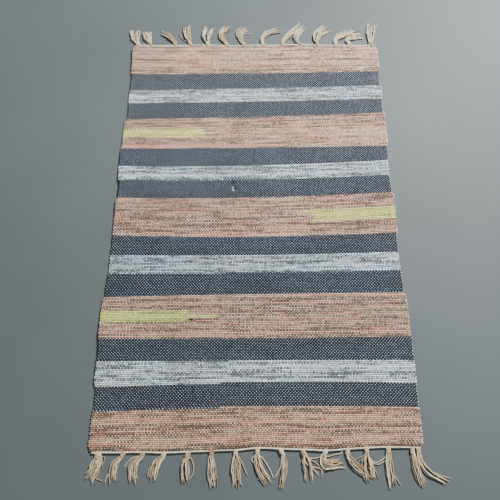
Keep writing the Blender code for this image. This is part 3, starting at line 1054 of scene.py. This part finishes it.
class Path:
    """A tassel's middle line on the floor, from the front of its knot to its tip."""

    def __init__(self, tassel):
        lean = math.atan2(tassel.turn_x, tassel.turn_out)
        self.lean = min(max(lean, -KNOT_LEAN), KNOT_LEAN)
        self.root = tassel.x
        self.start = self.along_knot(KNOT_LENGTH)
        self.turn = np.array((tassel.x + tassel.turn_x, tassel.turn_out))
        self.tip = np.array((tassel.x + tassel.tip_x, tassel.tip_out))

    def along_knot(self, distance, offset=0.0):
        """The place that far along the knot, and offset to its right."""
        ahead = np.array((math.sin(self.lean), math.cos(self.lean)))
        right = np.array((math.cos(self.lean), -math.sin(self.lean)))
        return np.array((self.root, 0.0)) + distance * ahead + offset * right

    def point(self, share):
        """The middle line's place at a share of its length, and the unit normal there."""
        rest = 1 - share
        place = rest * rest * self.start + 2 * rest * share * self.turn + share * share * self.tip
        heading = rest * (self.turn - self.start) + share * (self.tip - self.turn)
        heading = heading / np.hypot(*heading)
        return place, np.array((heading[1], -heading[0]))


def smoothed(points, rounds=3):
    """The points with their corners cut, ends kept."""
    points = np.asarray(points, dtype=float)
    for _ in range(rounds):
        step = np.diff(points, axis=0) / 4
        cut = np.stack([points[:-1] + step, points[1:] - step], axis=1).reshape(-1, 3)
        points = np.concatenate([points[:1], cut[1:-1], points[-1:]])
    return points


def spaced(points, step):
    """Points along the same line, evenly spaced about a step apart, with their distances, the
    headings there, and level vectors to the right."""
    lengths = np.linalg.norm(np.diff(points, axis=0), axis=1)
    distance = np.concatenate([[0], np.cumsum(lengths)])
    count = max(4, round(distance[-1] / step) + 1)
    places = np.linspace(0, distance[-1], count)
    path = np.stack([np.interp(places, distance, column) for column in points.T], axis=1)
    heading = np.gradient(path, axis=0)
    heading /= np.linalg.norm(heading, axis=1)[:, None]
    return path, places, heading, np.cross(heading, (0.0, 0.0, 1.0))


class Yarns:
    """Gathers tubes, twisted yarns and cords into one mesh."""

    def __init__(self, end):
        self.end = end
        self.painted_light = FAR_PAINTED_LIGHT if end == "far" else 1.0
        self.fullness = FAR_FULLNESS if end == "far" else 1.0
        self.verts, self.faces, self.tints = [], [], []
        self.count = 0

    def tube(self, centre, side, up, radius, sides, tint):
        """A closed tube round the centre points, kept off the floor."""
        verts = tube_verts(centre, side, up, radius, sides)
        verts[..., 2] = np.maximum(verts[..., 2], FLOOR_GAP)
        first, last = self.count, self.count + (len(centre) - 1) * sides
        self.faces += tube_faces(first, len(centre), sides)
        self.faces.append(tuple(reversed(range(first, first + sides))))
        self.faces.append(tuple(range(last, last + sides)))
        self.verts.append(verts.reshape(-1, 3))
        self.count = last + sides
        self.tints.append(np.tile(tint, (self.count - first, 1)))

    def twisted(self, points, twist, tint, turn=0.0, thin=1.0):
        """Plies twisted together along the points. thin is their size at the far end."""
        path, distance, heading, side = spaced(points, twist.step)
        side /= np.maximum(np.linalg.norm(side, axis=1), 1e-6)[:, None]
        up = np.cross(side, heading)
        thinned = smooth((distance / distance[-1] - THIN_FROM) / (1 - THIN_FROM))
        size = 1 + (thin - 1) * thinned
        for ply in range(twist.plies):
            angle = turn + 2 * math.pi * (distance / twist.pitch + ply / twist.plies)
            arm = np.cos(angle)[:, None] * side + np.sin(angle)[:, None] * up
            centre = path + (twist.offset * size)[:, None] * arm
            self.tube(centre, side, up, twist.radius * size, twist.sides, tint)
        return path[-1], heading[-1]

    def yarn(self, points, rng, shade=1.0):
        """One two-ply cotton yarn, frayed at its tip."""
        cream = CREAMS[rng.integers(len(CREAMS))]
        # far yarns are painted lighter, for the stronger light at that end
        tint = np.array(cream) * shade * rng.uniform(*TINT_VARIES) * self.painted_light
        tip, heading = self.twisted(
            smoothed(points), YARN_TWIST, tint, rng.uniform(0, 2 * math.pi), TIP_SIZE
        )
        level = np.array((0.0, 0.0, 1.0))
        side = np.cross(heading, level)
        for _ in range(FRAYS):
            spread = rng.uniform(-1, 1, 3) * FRAY_SPREAD
            reach = rng.uniform(*FRAY_REACH)
            middle = tip + (heading + 0.5 * spread) * reach * 0.5
            end = tip + (heading + spread) * reach
            path = np.stack([tip - heading * 0.001, middle, end])
            path[:, 2] = np.maximum(path[:, 2], FLOOR_GAP + 0.0002)
            sides, ups = np.tile(side, (3, 1)), np.tile(level, (3, 1))
            self.tube(path, sides, ups, np.array(FRAY_RADII), 3, 1.05 * tint)

    def build(self, name):
        """The mesh, brought from its end's own directions to the rug's. The end's wave is
        lost along the tassels."""
        verts = np.concatenate(self.verts)
        side, line = (1, LINES[0]) if self.end == "far" else (-1, LINES[-1])
        wave = end_wave(verts[:, 0], self.end) * smooth(1 - verts[:, 1] / WAVE_FADE)
        out = PARTING + CORD_DEPTH + verts[:, 1]
        verts[:, 1] = line_y(line, verts[:, 0]) + wave + side * out
        faces = self.faces if side < 0 else [face[::-1] for face in self.faces]
        obj = mesh_object(name, verts.tolist(), faces)
        tints = np.minimum(np.concatenate(self.tints), BRIGHTEST)
        tints = np.concatenate([tints, np.ones((len(tints), 1))], axis=1)
        layer = obj.data.attributes.new("tint", "FLOAT_COLOR", "POINT")
        layer.data.foreach_set("color", tints.astype(np.float32).ravel())
        return obj


def crimp(points, rng):
    """Small kinks left in a yarn by the weave, across its path."""
    path, distance, _, side = spaced(smoothed(points, 2), CRIMP_STEP)
    slow = wander(distance + rng.uniform(0, 1), rng, SWAY_LENGTH)
    sway = CRIMP * wander(distance + rng.uniform(0, 1), rng, CRIMP_LENGTH) + SWAY * slow
    sway *= smooth(distance / STRAIGHT)
    path = path + sway[:, None] * side
    path[:, 2] = np.maximum(path[:, 2], FLOOR_GAP + YARN_RADIUS)
    return path


def grow_tassel(yarns, tassel, strays, rng):
    """A tassel's yarns from the heading cord through the knot to their tips."""
    path = Path(tassel)
    neck = NECK * tassel.neck
    count = round(tassel.spread * yarns.fullness / YARN_ROOM)
    slots = rng.permutation(count) / (count - 1) * 2 - 1
    slots = np.sign(slots + 1e-3) * (tassel.gap + (1 - tassel.gap) * np.abs(slots))
    for number, slot in enumerate(slots):
        layer = number % 3
        low = YARN_RADIUS + FLOOR_GAP
        points = []
        for step in KNOT_PASSES:
            place = path.along_knot(step.along, slot * step.width * neck)
            points.append((*place, low + step.rise * layer))
        reach = rng.uniform(*TIP_SHARES)
        half = (tassel.spread * yarns.fullness / 2 - YARN_RADIUS) * rng.uniform(*WIDTH_SHARES)
        for share in np.linspace(OUT_OF_KNOT, 1.0, TASSEL_POINTS) * reach:
            place, normal = path.point(share)
            width = MOUTH * neck + (half - MOUTH * neck) * smooth(share / FULL_WIDTH)
            sway = slot * (1 + SPLAY[yarns.end] * share ** 3) + rng.normal(0, STRAY)
            height = low + LAYER_RISE * layer * (1 - SETTLE * smooth(share))
            height += ARCH * math.sin(math.pi * min(share, 1.0)) ** 2
            points.append((*(place + sway * width * normal), height + SLACK * rng.random()))
        # the yarn's painted shade, from how deep its layer lies in the tassel
        yarns.yarn(crimp(points, rng), rng, LAYER_PAINTED_SHADES[layer])
    for stray in strays:
        middle = (path.start + stray.points[0]) / 2
        knot = path.along_knot(KNOT_LENGTH * STRAY_START)
        points = [(*knot, STRAY_RISE[0]), (*middle, STRAY_RISE[1])]
        points += [(*point, YARN_RADIUS + SLACK) for point in stray.points]
        yarns.yarn(crimp(points, rng), rng)


def wrap_knot(yarns, tassel, ends, tint, rng):
    """The knot's turns: thick yarns that go round the tassel's neck on a slant."""
    path = Path(tassel)
    slant = rng.choice((-1, 1)) * KNOT_SLANT * rng.uniform(*SLANT_VARIES)
    for turn in range(KNOT_TURNS):
        along = ends[0] + turn * (ends[1] - ends[0]) / (KNOT_TURNS - 1)
        bulge = 1 - KNOT_BULGE * (2 * turn / (KNOT_TURNS - 1) - 1) ** 2
        wide = (KNOT_WIDTH / 2 - 2 * KNOT_PLY) * bulge * tassel.neck * rng.uniform(*KNOT_VARIES)
        high = (KNOT_HEIGHT / 2 - 2 * KNOT_PLY) * bulge * rng.uniform(*KNOT_VARIES)
        points = []
        around = np.linspace(0, 2 * math.pi * KNOT_OVERLAP, KNOT_POINTS)
        for angle in around + rng.uniform(0, 2 * math.pi):
            across = wide * math.cos(angle)
            place = path.along_knot(along + slant * math.cos(angle), across)
            points.append((*place, FLOOR_GAP + 2 * KNOT_PLY + high * (1 + math.sin(angle))))
        shade = np.array(tint) * rng.uniform(*KNOT_TINT_VARIES)
        yarns.twisted(smoothed(points, 1), KNOT_TWIST, shade, rng.uniform(0, 6))


def heading_cord(yarns, end, rng):
    """The twisted cord along the cloth's end, between its last pick and the knots."""
    edge = BANDS[0] if end == "far" else BANDS[-1]
    left = -edge.left + CORNER_PULL + CORD_INSET
    right = edge.right - CORNER_PULL - CORD_INSET
    x = np.linspace(left + CORD_PLY, right - CORD_PLY, CORD_POINTS)
    out = -CORD_DEPTH / 2 + CORD_SWAY * wander(x, rng, CORD_SWAY_LENGTH)
    height = FLOOR_GAP + 2 * CORD_PLY + CORD_RISE * (1 + wander(x, rng, CORD_RISE_LENGTH))
    yarns.twisted(np.stack([x, out, height], axis=1), CORD_TWIST, CORD_CREAM)


def make_fringe(tassels, end, rng):
    """The two halves of an end's fringe. The left half has the heading cord."""
    halves = []
    for half in ("left", "right"):
        yarns = Yarns(end)
        if half == "left":
            heading_cord(yarns, end, rng)
        for number, tassel in enumerate(tassels):
            if (tassel.x < 0) == (half == "left"):
                strays = [yarn for yarn in LOOSE_YARNS[end] if yarn.tassel == number]
                grow_tassel(yarns, tassel, strays, rng)
                tint = KNOT_TINTS.get((end, number), CREAMS[rng.integers(len(CREAMS))])
                ends = CORD_KNOT_ENDS if (end, number) in CORD_KNOTS else KNOT_ENDS
                wrap_knot(yarns, tassel, ends, tint, rng)
        halves.append(yarns.build(f"{end}_fringe_{half}"))
    return halves


def finish_piece(piece, material, slot, *nodes):
    piece.data.materials.append(material)
    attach(piece, "root")
    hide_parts(*nodes)


# Stage


def make_stage():
    bpy.ops.mesh.primitive_plane_add(size=FLOOR_SIZE, location=(0.0, 0.0, -FLOOR_GAP))
    floor = bpy.context.object
    floor.name = "studio_floor"
    floor.data.materials.append(floor_material())

    camera = bpy.data.objects.new("camera", bpy.data.cameras.new("camera"))
    bpy.context.scene.collection.objects.link(camera)
    camera.location = CAMERA_PLACE
    camera.rotation_euler = (CAMERA_TILT, 0.0, 0.0)
    camera.data.sensor_width = SENSOR_MM
    camera.data.lens = FOCAL_PIXELS / IMAGE_PIXELS * SENSOR_MM
    bpy.context.scene.camera = camera

    world = bpy.data.worlds.new("studio")
    world.use_nodes = True
    world.node_tree.nodes["Background"].inputs["Color"].default_value = (*SKY, 1.0)
    world.node_tree.nodes["Background"].inputs["Strength"].default_value = SKY_STRENGTH
    bpy.context.scene.world = world

    for name, place, size, power in LAMPS:
        lamp = bpy.data.lights.new(name, "AREA")
        lamp.size = size
        lamp.energy = power
        obj = bpy.data.objects.new(name, lamp)
        obj.location = place
        obj.rotation_euler = (-Vector(place)).to_track_quat("-Z", "Y").to_euler()
        bpy.context.scene.collection.objects.link(obj)


def main():
    rng = np.random.default_rng(SEED)
    make_stage()
    cream = yarn_material()
    weave = weave_material()
    reaches = pick_reaches(rng)
    cloth = make_cloth(reaches, rng)
    finish_piece(cloth, weave, "woven_cotton", "cloth")
    loops = make_selvedges(reaches, rng)
    finish_piece(loops, weave, "woven_cotton", "cloth")
    for half in make_fringe(FAR_TASSELS, "far", rng):
        finish_piece(half, cream, "cream_cotton", "fringe_far")
    for half in make_fringe(NEAR_TASSELS, "near", rng):
        finish_piece(half, cream, "cream_cotton", "fringe_near")


main()
